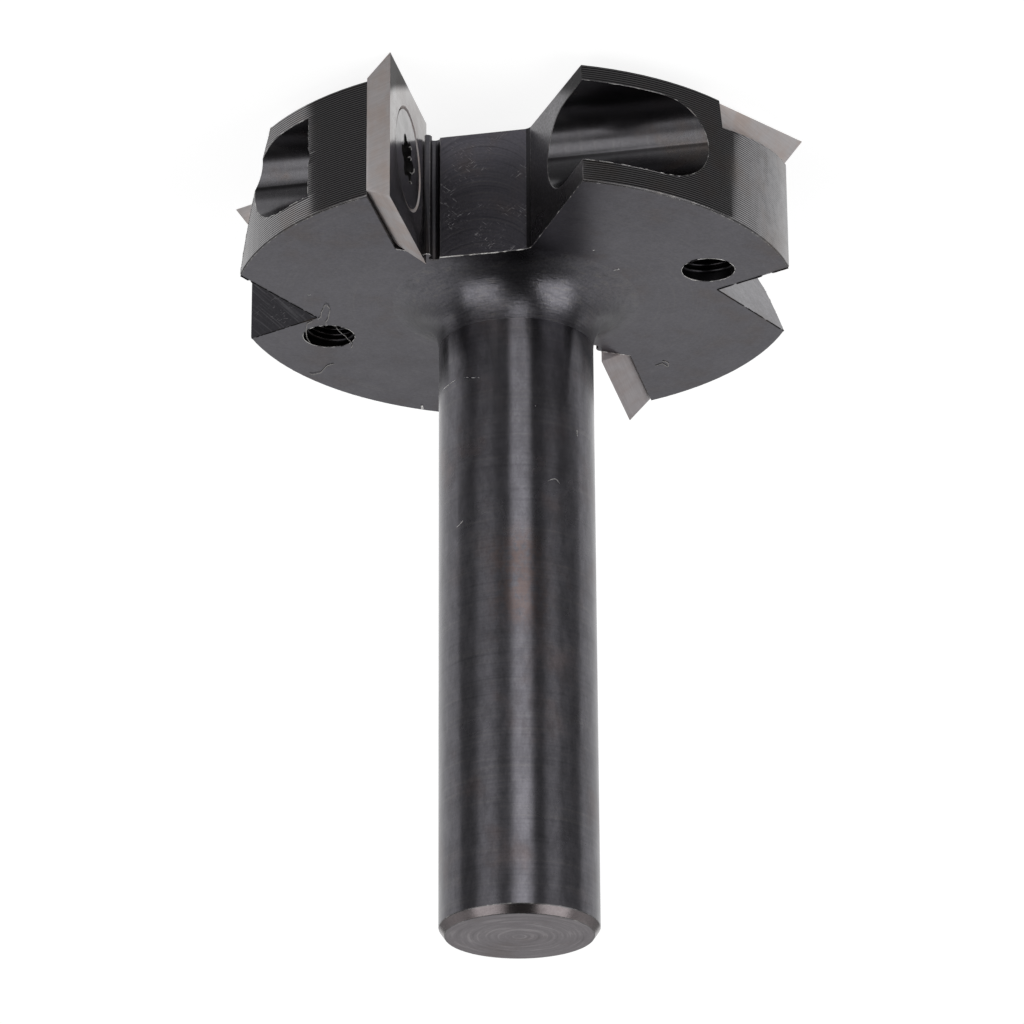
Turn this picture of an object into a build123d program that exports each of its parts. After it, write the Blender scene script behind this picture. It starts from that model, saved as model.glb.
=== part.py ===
from build123d import *
import math
import os

# Surfacing router bit, in millimetres. It stands on the points of its four cutting inserts at Z = 0,
# with the shank up along +Z. It turns clockwise as seen from the shank's free end.
# The head's features come in pairs, half a turn apart.

# Shank
shank_diameter = 12.0
shank_length = 51.5  # from the shank's free end to the head's upper face
shank_chamfer_width = 0.45  # measured across the end face
shank_chamfer_length = 0.65  # measured along the shank
root_fillet_radius = 4.0  # where the shank meets the head

# Head
head_diameter = 43.8
head_thickness = 9.7
rim_break = 0.1  # both rims of the head
crown_height = 0.55  # the cutting-side face's middle stands proud of its rim
crown_land_diameter = 20.0  # the flat middle

# Square carbide inserts, all four alike
insert_side = 12.0  # measured on the cutting face
insert_thickness = 2.1
insert_relief_angle = 32.0  # the flanks lean in by this much behind the cutting face
insert_sink_diameter = 8.05  # rim of the countersink
insert_hole_diameter = 4.3
insert_clearance = 0.03  # between an insert's edges and the walls beside it

# Countersunk screws with a six-lobed socket
screw_diameter = 4.0
screw_length = 7.0  # head included
screw_head_diameter = 7.6
screw_head_rim = 0.06  # straight edge above the cone
screw_head_sink = 0.06  # the head's top lies this far below the cutting face
thread_clearance = 0.05  # radial, between a screw and its tapped hole
socket_across_lobes = 3.86
socket_lobe_radius = 0.48
socket_waist_diameter = 2.85
socket_depth = 1.6

# Side inserts, which stand upright in the gullets
side_cutting_radius = 22.8
side_rake_angle = 12.1
side_heading = -78.1  # the way the first one's cutting face runs outward, in plan
side_stand_out = 1.4  # below the head's cutting-side rim

# Gullets in front of the side inserts
gullet_width = 7.9  # from the cutting face to the foot of the far wall
gullet_floor_step = 0.85  # the floor lies this much nearer the axis than the insert's inner edge
gullet_flare = 30.6  # the far wall's angle to the cutting face, in plan
gullet_corner_radius = 0.8  # between the floor and the far wall
relief_groove_radius = 0.4
relief_groove_ahead = 0.45  # from the cutting face to the groove's centre

# Driver slots, in line with the side inserts' screws and open to the rim
driver_slot_width = 6.6
thread_wall = 5.2  # metal left behind the seat for the side screw's thread

# Face inserts, which lie in pockets in the cutting-side face
spur_radius = 23.05  # the leading outer point of the face insert
spur_azimuth = 194.2
face_heading = 35.7  # the way the leading edge runs inward, in plan
face_tilt = 7.5  # drops the insert's leading edge below its trailing edge
pocket_relief_radius = 0.7

# Chip notches in front of the face inserts, with two walls square to each other in plan
notch_wall_gap = 0.05  # between the leading flank's back edge and the notch's steep wall
notch_reach = 7.4  # from the spur to the notch's root, on the head's upper face
notch_slant = 30.0  # the trailing wall's lean, which opens the notch towards the cutting side

half_turn = 180
shank_radius = shank_diameter / 2
head_radius = head_diameter / 2
rim_level = side_stand_out
upper_level = rim_level + head_thickness
end_level = upper_level + shank_length
insert_inset = insert_thickness * math.tan(math.radians(insert_relief_angle))
screw_radius = screw_diameter / 2
tapped_radius = screw_radius + thread_clearance
past = head_diameter  # reaches safely past the head


def direction(azimuth):
    """Unit vector in plan at an azimuth in degrees."""
    return Vector(math.cos(math.radians(azimuth)), math.sin(math.radians(azimuth)), 0)


def turned(shape, copy):
    """The shape, turned to the place of copy 0 or copy 1, half a turn apart."""
    return Rot(Z=half_turn * copy) * shape


# The side insert's frame: x runs outward along the cutting face, y up, z out of the cutting face.
side_out = direction(side_heading)
side_ahead = direction(side_heading - 90)
side_face_offset = side_cutting_radius * math.sin(math.radians(side_rake_angle))
side_edge_reach = side_cutting_radius * math.cos(math.radians(side_rake_angle))
side_middle_reach = side_edge_reach - insert_side / 2
side_level = insert_side / 2
side_plane = Plane(
    origin=side_out * side_middle_reach - side_ahead * side_face_offset + Vector(0, 0, side_level),
    x_dir=side_out,
    z_dir=side_ahead,
)

# The face insert's frame: x runs along the outer edge to the spur, y inward along the leading edge,
# z out of the cutting face, which looks down.
spur = direction(spur_azimuth) * spur_radius
face_in = direction(face_heading)
face_level_ahead = direction(face_heading + 90)
face_ahead = face_level_ahead * math.cos(math.radians(face_tilt)) - Vector(
    0, 0, math.sin(math.radians(face_tilt))
)
face_out = face_ahead.cross(face_in)
face_plane = Plane(
    origin=spur - face_ahead * (insert_side / 2) + face_in * (insert_side / 2),
    x_dir=face_ahead,
    z_dir=face_out,
)


def turned_blank():
    """Shank and head as they leave the lathe, one revolved profile."""
    fillet_start = (shank_radius + root_fillet_radius, upper_level)
    fillet_end = (shank_radius, upper_level + root_fillet_radius)
    land_edge = (crown_land_diameter / 2, rim_level - crown_height)
    outline = [
        Line((0, rim_level - crown_height), land_edge),
        Line(land_edge, (head_radius - rim_break, rim_level)),
        Line((head_radius - rim_break, rim_level), (head_radius, rim_level + rim_break)),
        Line((head_radius, rim_level + rim_break), (head_radius, upper_level - rim_break)),
        Line((head_radius, upper_level - rim_break), (head_radius - rim_break, upper_level)),
        Line((head_radius - rim_break, upper_level), fillet_start),
        RadiusArc(fillet_start, fillet_end, root_fillet_radius),
        Line(fillet_end, (shank_radius, end_level - shank_chamfer_length)),
        Line(
            (shank_radius, end_level - shank_chamfer_length),
            (shank_radius - shank_chamfer_width, end_level),
        ),
        Line((shank_radius - shank_chamfer_width, end_level), (0, end_level)),
        Line((0, end_level), (0, rim_level - crown_height)),
    ]
    profile = make_face(Plane.XZ * Curve(outline))
    return revolve(profile, Axis.Z)


def upright_prism(points):
    """A prism on a plan outline, from below the inserts' points to above the head."""
    low = -insert_side
    outline = make_face(Polyline(*points, close=True))
    return Pos(Z=low) * extrude(outline, amount=upper_level + root_fillet_radius / 2 - low)


def side_point(outward, ahead):
    """Plan point in the side insert's directions: outward along its face and ahead of it."""
    place = side_out * outward + side_ahead * (ahead - side_face_offset)
    return (place.X, place.Y)


def gullet():
    """The chip space in front of a side insert, with the insert's seat as one of its walls."""
    lean = math.tan(math.radians(insert_relief_angle))
    inner_edge = side_edge_reach - insert_side - insert_clearance
    seat_foot = inner_edge + insert_inset
    floor = inner_edge - gullet_floor_step
    wall_run = past - floor
    corner = relief_groove_ahead - relief_groove_radius / 2
    space = upright_prism(
        [
            side_point(past, -insert_thickness),
            side_point(seat_foot, -insert_thickness),
            side_point(inner_edge - corner * lean, corner),
            side_point(floor, relief_groove_ahead),
            side_point(floor, gullet_width),
            side_point(past, gullet_width + wall_run * math.tan(math.radians(gullet_flare))),
        ]
    )
    foot = Vector(*side_point(floor, gullet_width))
    foot_edge = space.edges().filter_by(Axis.Z).sort_by_distance(foot)[0]
    space = fillet(foot_edge, gullet_corner_radius)
    groove_x, groove_y = side_point(floor, relief_groove_ahead)
    groove = Pos(groove_x, groove_y) * Cylinder(
        relief_groove_radius, 2 * (upper_level + root_fillet_radius / 2)
    )
    return space + groove


def slot_along_screw(start, end):
    """A round-bottomed slot in line with the side screw, open outward, between two distances
    ahead of the cutting face."""
    outline = SlotCenterToCenter(past, driver_slot_width)
    section = Plane(
        origin=side_plane.origin + side_ahead * start + side_out * (past / 2),
        x_dir=side_out,
        z_dir=side_ahead,
    )
    return extrude(section * outline, amount=end - start)


def side_tapped_hole():
    """The tapped hole from the side insert's seat through to the slot behind it."""
    depth = insert_thickness + thread_wall
    hole = Cylinder(tapped_radius, depth, align=(Align.CENTER, Align.CENTER, Align.MAX))
    return side_plane * hole


def face_pocket():
    """The pocket that holds a face insert, with a corner relief where its two walls meet."""
    edge = insert_side / 2 + insert_clearance
    pocket = Pos(-edge, edge, -insert_thickness) * Box(
        edge + past,
        edge + past,
        insert_side,
        align=(Align.MIN, Align.MAX, Align.MIN),
    )
    relief = Pos(-edge, edge, -insert_thickness) * Cylinder(
        pocket_relief_radius, insert_side, align=(Align.CENTER, Align.CENTER, Align.MIN)
    )
    return face_plane * (pocket + relief)


def face_tapped_hole():
    """The tapped hole square to the pocket's floor, right through the head."""
    hole = Cylinder(
        tapped_radius, 2 * head_thickness, align=(Align.CENTER, Align.CENTER, Align.MAX)
    )
    return face_plane * hole


def chip_notch():
    """The notch in front of a face insert: a steep wall along the leading edge and a slanted one."""
    steep_foot = spur - face_level_ahead * (insert_inset - notch_wall_gap)
    root = steep_foot + face_in * notch_reach + Vector(0, 0, upper_level)
    steep_side = Plane(origin=root, x_dir=face_in, z_dir=face_level_ahead)
    slope = math.radians(notch_slant)
    slant_normal = -face_in * math.cos(slope) - Vector(0, 0, math.sin(slope))
    slant_side = Plane(origin=root, x_dir=face_level_ahead, z_dir=slant_normal)
    block = Box(2 * past, 2 * past, past, align=(Align.CENTER, Align.CENTER, Align.MIN))
    return (steep_side * block) & (slant_side * block)


def cutter_body():
    """The one-piece steel body, turned and then milled."""
    body = turned_blank()
    slot_front = slot_along_screw(gullet_width / 2, past)
    slot_behind = slot_along_screw(-past, -insert_thickness - thread_wall)
    for copy in (0, 1):
        cuts = [
            gullet(),
            slot_front,
            slot_behind,
            chip_notch(),
            face_pocket(),
            side_tapped_hole(),
            face_tapped_hole(),
        ]
        for cut in cuts:
            body = body - turned(cut, copy)
    return body


def insert():
    """One square insert. Its cutting face is centred on the origin and looks along +Z."""
    blank = extrude(
        Rectangle(insert_side, insert_side), amount=-insert_thickness, taper=insert_relief_angle
    )
    hole_radius = insert_hole_diameter / 2
    sink_radius = insert_sink_diameter / 2
    sink_depth = sink_radius - hole_radius
    through = Cylinder(
        hole_radius, insert_thickness, align=(Align.CENTER, Align.CENTER, Align.MAX)
    )
    sink = Cone(
        hole_radius, sink_radius, sink_depth, align=(Align.CENTER, Align.CENTER, Align.MAX)
    )
    return blank - through - sink


def socket():
    """The six-lobed driver socket, opening at the origin and going down."""
    lobes = 6
    lobe_circle = socket_across_lobes / 2 - socket_lobe_radius
    outline = Circle(socket_waist_diameter / 2)
    for lobe in range(lobes):
        outline += Rot(Z=lobe * 360 / lobes) * Pos(lobe_circle) * Circle(socket_lobe_radius)
    return extrude(outline, amount=-socket_depth)


def insert_screw():
    """One countersunk screw in the place it has in an insert's frame."""
    head_radius_top = screw_head_diameter / 2
    top = -screw_head_sink
    cone_top = top - screw_head_rim
    cone_foot = cone_top - (head_radius_top - screw_radius)
    tip = top - screw_length
    profile = make_face(
        Plane.XZ
        * Polyline(
            (0, top),
            (head_radius_top, top),
            (head_radius_top, cone_top),
            (screw_radius, cone_foot),
            (screw_radius, tip),
            (0, tip),
            close=True,
        )
    )
    return revolve(profile, Axis.Z) - Pos(Z=top) * socket()


def save(name, shape):
    """Write one node."""
    shape.label = name
    export_step(shape, f"parts/{name}.step")


os.makedirs("parts", exist_ok=True)
save("cutter_body", cutter_body())
for copy in (0, 1):
    save(f"side_insert_{copy + 1}", turned(side_plane * insert(), copy))
    save(f"side_insert_screw_{copy + 1}", turned(side_plane * insert_screw(), copy))
    save(f"face_insert_{copy + 1}", turned(face_plane * insert(), copy))
    save(f"face_insert_screw_{copy + 1}", turned(face_plane * insert_screw(), copy))
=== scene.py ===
import logging
import math
from dataclasses import dataclass, field
from enum import Enum
from typing import Iterable, NamedTuple, Optional, Sequence

import bmesh
import bpy
from mathutils import Matrix, Vector


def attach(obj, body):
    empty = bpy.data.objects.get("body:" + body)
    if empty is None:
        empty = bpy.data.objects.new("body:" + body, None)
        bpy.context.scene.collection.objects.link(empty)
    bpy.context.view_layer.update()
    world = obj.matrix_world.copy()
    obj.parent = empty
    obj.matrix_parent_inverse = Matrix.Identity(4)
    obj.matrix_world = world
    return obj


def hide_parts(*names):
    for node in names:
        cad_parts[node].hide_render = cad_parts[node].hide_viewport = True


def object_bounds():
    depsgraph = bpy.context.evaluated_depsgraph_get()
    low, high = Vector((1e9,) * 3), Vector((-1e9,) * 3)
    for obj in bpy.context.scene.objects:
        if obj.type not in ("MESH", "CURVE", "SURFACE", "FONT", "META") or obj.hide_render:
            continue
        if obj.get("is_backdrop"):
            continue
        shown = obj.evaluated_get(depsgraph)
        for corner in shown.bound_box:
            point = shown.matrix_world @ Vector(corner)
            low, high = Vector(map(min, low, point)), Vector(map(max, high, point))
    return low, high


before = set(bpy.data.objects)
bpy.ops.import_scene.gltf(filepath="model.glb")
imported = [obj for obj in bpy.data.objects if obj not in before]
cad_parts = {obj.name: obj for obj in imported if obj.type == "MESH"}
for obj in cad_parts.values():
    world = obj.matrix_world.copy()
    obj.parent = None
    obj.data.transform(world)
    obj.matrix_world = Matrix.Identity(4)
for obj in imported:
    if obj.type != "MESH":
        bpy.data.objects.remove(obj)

# Surfacing router bit: black-oxide steel body, square carbide inserts and their screws.
# Blender works in metres. Sizes named _mm are millimetres.

LOG = logging.getLogger("router_bit")
MM = 0.001
ROOT = "root"
JOINED_MM = 0.002  # points of a CAD mesh this near are one point
SAME_WAY = 0.98  # the least product of two unit vectors that count as pointing the same way
Colour = tuple[float, float, float]
Point = tuple[float, float, float]
Rise = tuple[float, float, float, float]  # the low, high, start and end of a smooth step
Socket = bpy.types.NodeSocket


class Texture(NamedTuple):
    """Noise by its features per millimetre, its detail and its roughness."""

    per_mm: float
    detail: float
    rough: float


OXIDE_CLOUD = Texture(0.22, 4.0, 0.6)
OXIDE_SPECK = Texture(5.0, 3.0, 0.65)
OXIDE_HAZE = Texture(1.3, 5.0, 0.65)
SCUFF_PATCH = Texture(1.1, 4.0, 0.6)
SCRATCH_PATCH = Texture(0.45, 1.0, 0.5)
STAIN_MOTTLE = Texture(1.6, 4.0, 0.7)
METAL_CLOUD = Texture(0.5, 4.0, 0.6)
METAL_SPECK = Texture(9.0, 2.0, 0.6)
LINT_FLECK = Texture(4.0, 2.0, 0.6)
FLOOR_GRAIN = Texture(0.05, 2.0, 0.5)
PATCH_SHIFT = (0.31, 0.17, 0.23)  # keeps the noise of a strand's gaps apart from that of its waver
GAP_EDGES = (0.03, 0.06)  # how far below and above its share a gap begins and ends
THINNEST = 0.04  # what is left of a strand's width in a gap


def plan(azimuth: float) -> Vector:
    """Unit vector in plan at an azimuth in degrees."""
    return Vector((math.cos(math.radians(azimuth)), math.sin(math.radians(azimuth)), 0.0))


def alike(first: Vector, second: Vector) -> bool:
    """Whether two unit vectors point the same way."""
    return first.dot(second) > SAME_WAY


@dataclass(frozen=True)
class HeadLayout:
    """The places on the head that the finishes and small pieces need, as the source gives them."""

    shank_radius_mm: float = 6.0
    head_radius_mm: float = 21.9
    rim_level_mm: float = 1.4
    upper_level_mm: float = 11.1
    fillet_top_mm: float = 15.1
    fillet_reach_mm: float = 10.0
    chamfer_foot_mm: float = 61.95
    side_heading: float = -78.1
    side_radius_mm: float = 22.8
    side_rake: float = 12.1
    insert_side_mm: float = 12.0
    insert_thickness_mm: float = 2.1
    gullet_width_mm: float = 7.9
    gullet_flare: float = 30.6
    floor_step_mm: float = 0.88
    slot_radius_mm: float = 3.3
    slot_back_mm: float = 7.3
    # the level of the painted dark line on the driver slots' round walls
    painted_slot_line_mm: float = 5.45
    tapped_radius_mm: float = 2.05
    spur_radius_mm: float = 23.05
    spur_azimuth: float = 194.2
    face_heading: float = 35.7
    face_tilt: float = 7.5
    notch_slant: float = 30.0
    groove_pitch_mm: float = 0.177
    groove_foot_mm: float = 1.55
    scuffed_mm: tuple[float, float] = (-19.2, -16.8)

    @property
    def side_out(self) -> Vector:
        """The way the first side insert's face runs outward."""
        return plan(self.side_heading)

    @property
    def side_ahead(self) -> Vector:
        """The way the first side insert's face looks."""
        return plan(self.side_heading - 90)

    @property
    def face_offset_mm(self) -> float:
        """How far the side insert's face lies behind the axis."""
        return self.side_radius_mm * math.sin(math.radians(self.side_rake))

    @property
    def edge_reach_mm(self) -> float:
        """How far the side insert's outer edge lies out along its face."""
        return self.side_radius_mm * math.cos(math.radians(self.side_rake))

    @property
    def floor_reach_mm(self) -> float:
        """How far the gullet's floor lies out from the axis."""
        return self.edge_reach_mm - self.insert_side_mm - self.floor_step_mm

    @property
    def side_middle_mm(self) -> Vector:
        """The middle of the first side insert's cutting face."""
        out = self.side_out * (self.edge_reach_mm - self.insert_side_mm / 2)
        return out - self.side_ahead * self.face_offset_mm + Vector((0, 0, self.insert_side_mm / 2))

    @property
    def face_in(self) -> Vector:
        """The way the first face insert's leading edge runs inward."""
        return plan(self.face_heading)

    @property
    def face_ahead(self) -> Vector:
        """The way the first face insert cuts, along its own face."""
        tilt = math.radians(self.face_tilt)
        return self.steep_normal * math.cos(tilt) - Vector((0, 0, math.sin(tilt)))

    @property
    def face_out(self) -> Vector:
        """The way the first face insert's cutting face looks."""
        return self.face_ahead.cross(self.face_in)

    @property
    def face_middle_mm(self) -> Vector:
        """The middle of the first face insert's cutting face."""
        spur = plan(self.spur_azimuth) * self.spur_radius_mm
        half = self.insert_side_mm / 2
        return spur - self.face_ahead * half + self.face_in * half

    @property
    def flare_normal(self) -> Vector:
        """The way the first gullet's flared far wall looks."""
        flare = math.radians(self.gullet_flare)
        return self.side_out * math.sin(flare) - self.side_ahead * math.cos(flare)

    @property
    def steep_normal(self) -> Vector:
        """The way the first chip notch's steep wall looks."""
        return plan(self.face_heading + 90)

    @property
    def slant_normal(self) -> Vector:
        """The way the first chip notch's slanted wall looks."""
        slant = math.radians(self.notch_slant)
        return -self.face_in * math.cos(slant) - Vector((0, 0, math.sin(slant)))


LAYOUT = HeadLayout()


def half_turned(vector: Vector, copy: int) -> Vector:
    """The vector of copy 0, or turned half round the axis for copy 1."""
    return Vector((-vector.x, -vector.y, vector.z)) if copy else vector.copy()


class Graph:
    """A shader or geometry node tree while it is being built."""

    def __init__(self, tree: bpy.types.NodeTree) -> None:
        """Starts on an empty tree.

        Args:
            tree: the node tree to fill.
        """
        self.tree = tree
        tree.nodes.clear()

    def node(self, kind: str, feeds: Optional[dict] = None, **settings: object) -> bpy.types.Node:
        """Adds a node.

        Args:
            kind: the node's type name.
            feeds: input name or number to a socket to link or a value to set.
            settings: the node's own properties.

        Returns:
            The new node.
        """
        made = self.tree.nodes.new(kind)
        for name, value in settings.items():
            setattr(made, name, value)
        for key, value in (feeds or {}).items():
            if isinstance(value, Socket):
                self.tree.links.new(value, made.inputs[key])
            else:
                made.inputs[key].default_value = value
        return made

    def math(self, operation: str, *values: object, clamp: bool = False) -> Socket:
        """One Math node's result for the given operation and values."""
        feeds = dict(enumerate(values))
        return self.node("ShaderNodeMath", feeds, operation=operation, use_clamp=clamp).outputs[0]

    def vector(self, operation: str, *values: object) -> Socket:
        """One Vector Math node's result: a number for DOT_PRODUCT and LENGTH, else a vector."""
        made = self.node("ShaderNodeVectorMath", dict(enumerate(values)), operation=operation)
        return made.outputs["Value" if operation in ("DOT_PRODUCT", "LENGTH") else "Vector"]

    def join(self, x: object, y: object, z: object) -> Socket:
        """A vector from three numbers or sockets."""
        return self.node("ShaderNodeCombineXYZ", {0: x, 1: y, 2: z}).outputs[0]

    def split(self, vector: Socket) -> Sequence[Socket]:
        """The three components of a vector."""
        return self.node("ShaderNodeSeparateXYZ", {0: vector}).outputs

    def noise(self, vector: Socket, scale: float, detail: float = 2.0, rough: float = 0.5) -> Socket:
        """Noise between 0 and 1 over a vector."""
        feeds = {"Vector": vector, "Scale": scale, "Detail": detail, "Roughness": rough}
        return self.node("ShaderNodeTexNoise", feeds).outputs[0]

    def rise(self, value: Socket, low: float, high: float, start: float = 0.0, end: float = 1.0) -> Socket:
        """A smooth step from start at low to end at high."""
        feeds = {"Value": value, "From Min": low, "From Max": high, "To Min": start, "To Max": end}
        made = self.node("ShaderNodeMapRange", feeds, interpolation_type="SMOOTHSTEP")
        return made.outputs["Result"]

    def tint(self, factor: object, first: object, second: object, blend: str = "MIX") -> Socket:
        """Two colours mixed or blended.

        Args:
            factor: how much of the blend shows.
            first: the first colour.
            second: the second colour.
            blend: the Mix node's way to blend.

        Returns:
            The colour.
        """
        made = self.node("ShaderNodeMix", data_type="RGBA", blend_type=blend)
        for key, value in ((0, factor), (6, first), (7, second)):
            if isinstance(value, Socket):
                self.tree.links.new(value, made.inputs[key])
            elif key:
                made.inputs[key].default_value = (*value, 1.0)
            else:
                made.inputs[key].default_value = value
        return made.outputs[2]

    def shaded(self, colour: object, factor: Socket) -> Socket:
        """A colour multiplied by a number."""
        return self.tint(1.0, colour, self.join(factor, factor, factor), "MULTIPLY")

    def place_mm(self) -> Socket:
        """The point on the piece, in millimetres."""
        where = self.node("ShaderNodeTexCoord").outputs["Object"]
        feeds = {0: where, "Scale": 1 / MM}
        return self.node("ShaderNodeVectorMath", feeds, operation="SCALE").outputs["Vector"]

    def drawn_out(
        self,
        across: Socket,
        along: Sequence[Socket],
        size_mm: tuple[float, float],
        detail: float,
        rough: float,
    ) -> Socket:
        """Noise drawn out into fine lines.

        Args:
            across: the coordinate across the lines, in millimetres.
            along: the other two coordinates, in millimetres.
            size_mm: how wide a line is and how far it runs.
            detail: the noise's detail.
            rough: the noise's roughness.

        Returns:
            A number between 0 and 1.
        """
        line_mm, run_mm = size_mm
        parts = [self.math("MULTIPLY", across, 1 / line_mm)]
        parts += [self.math("MULTIPLY", part, 1 / run_mm) for part in along]
        return self.noise(self.join(*parts), 1.0, detail, rough)

    def bump(self, depth_mm: float, height: Socket) -> Socket:
        """The surface's normal where a height of 1 stands depth_mm proud."""
        feeds = {"Strength": 1.0, "Distance": depth_mm * MM, "Height": height}
        return self.node("ShaderNodeBump", feeds).outputs[0]

    def surface(self, feeds: dict[str, object]) -> None:
        """Ends a material in one Principled shader with these inputs."""
        shader = self.node("ShaderNodeBsdfPrincipled", feeds)
        self.node("ShaderNodeOutputMaterial", {"Surface": shader.outputs[0]})


def new_material(name: str) -> tuple[bpy.types.Material, Graph]:
    """An empty node material and its graph."""
    material = bpy.data.materials.new(name)
    material.use_nodes = True
    return material, Graph(material.node_tree)


class Marks(Enum):
    """How a surface was machined, which sets the run of its fine lines."""

    AROUND = "rings round the shank"
    GROOVED = "even grooves round the head"
    SLOPING = "sloping lines on an upright wall"
    CONCENTRIC = "rings on a flat face"
    ARCS = "end-mill arcs on the gullet floor"
    LEVEL = "level lines on an upright wall"
    ALONG_SLOT = "rings round a driver slot"
    GRAIN = "no lines"


@dataclass(frozen=True)
class OxideFinish:
    """Black-oxide steel with the marks of one machining step.

    A share of 0 leaves out what it names: wear, painted_groove_shade, grain, scratches, scuffs, blotches,
    staining and smoother_low, which is how much less rough the surface is near the head.
    """

    name: str
    marks: Marks
    colour: Colour = (0.1, 0.098, 0.106)
    worn: Colour = (0.15, 0.143, 0.14)
    wear: float = 0.25
    roughness: float = 0.34
    anisotropy: float = 0.0
    line_mm: float = 0.2
    line_run_mm: float = 9.0
    depth_mm: float = 0.004
    # how much painted shade darkens the valleys of the machining lines
    painted_groove_shade: float = 0.0
    grain: float = 0.3
    scratches: float = 0.0
    scuffs: float = 0.0
    smoother_low: float = 0.0
    blotches: float = 0.0
    spots_mm: tuple[Point, ...] = ()
    spot_reach_mm: float = 3.4
    stain: Colour = (0.12, 0.085, 0.06)
    staining: float = 0.25
    scratch_colour: Colour = (0.32, 0.31, 0.32)
    scratch_stretch: Point = (20.0, 2.2, 1.5)
    slope_share: float = 0.7
    arc_share: float = 0.62
    smoother_mm: tuple[float, float] = (15.0, 42.0)

    def lines(self, graph: Graph, place: Socket) -> Socket:
        """The machining lines.

        Args:
            graph: the tree to add to.
            place: the point in millimetres.

        Returns:
            Height between 0 and 1.
        """
        if self.marks is Marks.GRAIN:
            return graph.noise(place, 1 / self.line_mm, 3.0, 0.6)
        x, y, z = graph.split(place)
        if self.marks is Marks.GROOVED:
            turn = graph.math("SUBTRACT", z, LAYOUT.groove_foot_mm)
            turn = graph.math("MULTIPLY", turn, 2 * math.pi / LAYOUT.groove_pitch_mm)
            return graph.math("MULTIPLY_ADD", graph.math("COSINE", turn), 0.5, 0.5)
        across = self.across(graph, place)
        return graph.drawn_out(across, (x, y), (self.line_mm, self.line_run_mm), 3.0, 0.55)

    def across(self, graph: Graph, place: Socket) -> Socket:
        """The coordinate that grows from one machining line to the next.

        Args:
            graph: the tree to add to.
            place: the point in millimetres.

        Returns:
            A length in millimetres.
        """
        x, y, z = graph.split(place)
        if self.marks is Marks.CONCENTRIC:
            return graph.vector("LENGTH", graph.join(x, y, 0.0))
        if self.marks is Marks.SLOPING:
            level = graph.vector("DOT_PRODUCT", place, tuple(LAYOUT.face_in))
            return graph.math("MULTIPLY", graph.math("ADD", z, level), self.slope_share)
        if self.marks is Marks.ALONG_SLOT:
            return graph.vector("DOT_PRODUCT", place, tuple(LAYOUT.side_ahead))
        if self.marks is Marks.ARCS:
            side = graph.math("SIGN", graph.vector("DOT_PRODUCT", place, tuple(LAYOUT.side_out)))
            ahead = graph.vector("DOT_PRODUCT", place, tuple(LAYOUT.side_ahead))
            middle = LAYOUT.face_offset_mm - LAYOUT.gullet_width_mm / 2
            offset = graph.math("ADD", graph.math("MULTIPLY", side, ahead), middle)
            radius = self.arc_share * LAYOUT.gullet_width_mm
            under = graph.math("SUBTRACT", radius**2, graph.math("POWER", offset, 2.0))
            return graph.math("ADD", z, graph.math("SQRT", graph.math("MAXIMUM", under, 0.01)))
        return z

    def spread(self, graph: Graph, place: Socket) -> Socket:
        """The way across the machining lines, which is the way they spread a highlight.

        Args:
            graph: the tree to add to.
            place: the point in millimetres.

        Returns:
            The direction.
        """
        x, y, _ = graph.split(place)
        if self.marks is Marks.CONCENTRIC:
            return graph.join(x, y, 0.0)
        if self.marks is Marks.ALONG_SLOT:
            return graph.join(*LAYOUT.side_ahead)
        return graph.join(0.0, 0.0, 1.0)

    def scratch_lines(self, graph: Graph, place: Socket, lean: float, seed: float) -> Socket:
        """Thin straight scratches in one direction.

        Args:
            graph: the tree to add to.
            place: the point in millimetres.
            lean: degrees from upright, about the Y axis.
            seed: shifts the pattern.

        Returns:
            1 on a scratch and 0 off it.
        """
        feeds = {"Vector": place, "Location": (seed, 0.0, seed), "Rotation": (0.0, math.radians(lean), 0.5)}
        turned = graph.node("ShaderNodeMapping", feeds).outputs[0]
        narrow = graph.vector("MULTIPLY", turned, self.scratch_stretch)
        return graph.rise(graph.noise(narrow, 1.0, 1.0, 0.4), 0.68, 0.77)

    def scratched(self, graph: Graph, place: Socket) -> Socket:
        """Patches of crossed scratches.

        Args:
            graph: the tree to add to.
            place: the point in millimetres.

        Returns:
            The scratches' share on a scratch and 0 off it.
        """
        first = self.scratch_lines(graph, place, 44.0, 3.0)
        second = self.scratch_lines(graph, place, -46.0, 17.0)
        patch = graph.rise(graph.noise(place, *SCRATCH_PATCH), 0.44, 0.6)
        both = graph.math("MULTIPLY", graph.math("MAXIMUM", first, second), patch)
        return graph.math("MULTIPLY", both, self.scratches)

    def worn_colour(self, graph: Graph, place: Socket, lines: Socket) -> Socket:
        """The oxide with painted shade in its grooves, its rubbed ridges and its scuffs.

        Args:
            graph: the tree to add to.
            place: the point in millimetres.
            lines: the machining lines' height.

        Returns:
            The colour.
        """
        wear = graph.math("MULTIPLY", graph.rise(lines, 0.5, 0.75), self.wear)
        # painted shade: the colour is darker in the valleys of the machining lines
        sunk = graph.rise(lines, 0.2, 0.5, 1 - self.painted_groove_shade, 1.0)
        if self.scuffs:
            x, _, _ = graph.split(place)
            patch = graph.rise(graph.noise(place, *SCUFF_PATCH), 0.35, 0.6, 0.3, 1.0)
            side = graph.rise(x, *LAYOUT.scuffed_mm, self.scuffs, 0.0)
            scuffed = graph.math("MULTIPLY", patch, side)
            sunk = graph.math("MAXIMUM", sunk, scuffed)
            spared = graph.math("SUBTRACT", 1.0, graph.math("MULTIPLY", side, 0.5))
            wear = graph.math("MULTIPLY", wear, spared)
            wear = graph.math("MAXIMUM", wear, graph.math("MULTIPLY", scuffed, 0.35))
        return graph.tint(wear, graph.shaded(self.colour, sunk), self.worn)

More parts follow.
